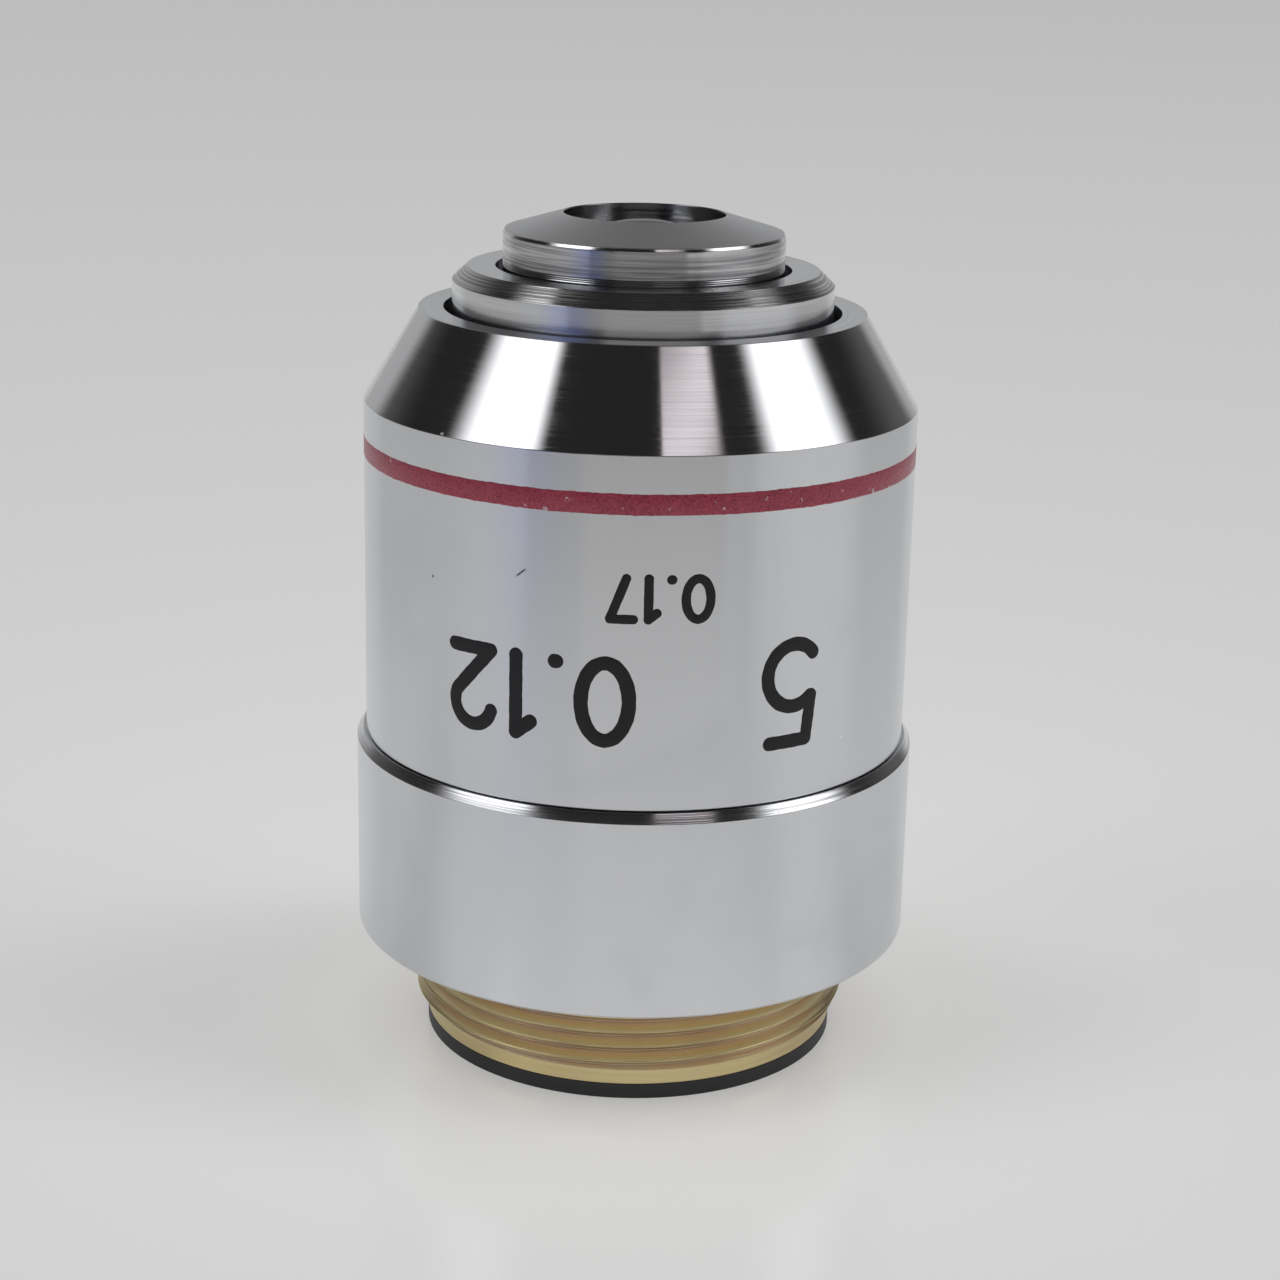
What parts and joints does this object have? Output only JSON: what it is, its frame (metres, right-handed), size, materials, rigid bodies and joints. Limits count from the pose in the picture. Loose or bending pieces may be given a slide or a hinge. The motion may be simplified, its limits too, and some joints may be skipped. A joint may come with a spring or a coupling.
{
  "type": "microscope objective",
  "caption": "Low-power microscope objective: plated base with a standard thread, a marked sleeve with a polished cone and colour band, and a lens stack behind a stepped nose.",
  "frame": {"origin": "centre of the mounting shoulder, on the optical axis", "axes": "+Z along the optical axis towards the front lens; the part stands on its rear end, nose up"},
  "size_m": [0.0258, 0.0258, 0.0383],
  "materials": {
    "satin_chrome": "satin",
    "bright_chrome": "polished",
    "red_enamel": "gloss",
    "black_anodised": "matte",
    "blackened_brass": "matte",
    "bare_brass": "satin",
    "lens_glass": "polished"
  },
  "bodies": {
    "root": {"base": "satin_chrome", "outer_sleeve": "satin_chrome", "colour_band": "red_enamel", "lens_barrel": "bright_chrome", "parfocal_lock_ring": "bare_brass", "front_cell": "satin_chrome", "front_lens": "lens_glass", "front_lens_ring": "blackened_brass", "front_spacer": "black_anodised", "middle_cell": "blackened_brass", "middle_lens": "lens_glass", "middle_lens_ring": "blackened_brass", "middle_spacer": "black_anodised", "field_cell": "blackened_brass", "field_lens": "lens_glass", "field_lens_ring": "blackened_brass", "rear_spacer": "black_anodised", "rear_cell": "blackened_brass", "rear_flint": "lens_glass", "rear_crown": "lens_glass", "rear_lens_ring": "blackened_brass", "barrel_ring": "blackened_brass", "rear_stop": "black_anodised"}
  },
  "joints": []
}
